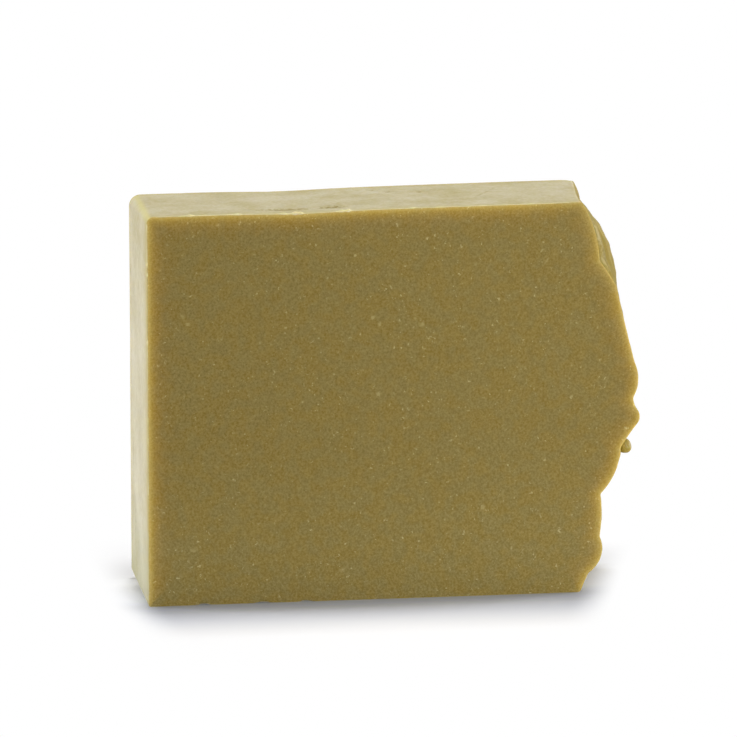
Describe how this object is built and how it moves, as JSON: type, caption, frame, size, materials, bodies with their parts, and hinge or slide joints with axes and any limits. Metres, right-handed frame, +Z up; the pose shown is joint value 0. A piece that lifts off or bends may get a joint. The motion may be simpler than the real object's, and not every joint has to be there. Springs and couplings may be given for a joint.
{
  "type": "bar of soap",
  "caption": "Thick hand-cut slice of a poured soap loaf with flat sides and a spooned, wavy end, standing on its long edge.",
  "frame": {"origin": "on the surface that the bar stands on, under the middle of its overall box", "axes": "+X from the loaf's flat underside towards its spooned wavy top, +Y through the slice from the near cut face to the far cut face, +Z up, across the loaf's width"},
  "size_m": [0.0884, 0.025, 0.0708],
  "materials": {
    "soap": null
  },
  "bodies": {
    "root": {"soap_bar": "soap"}
  },
  "joints": []
}
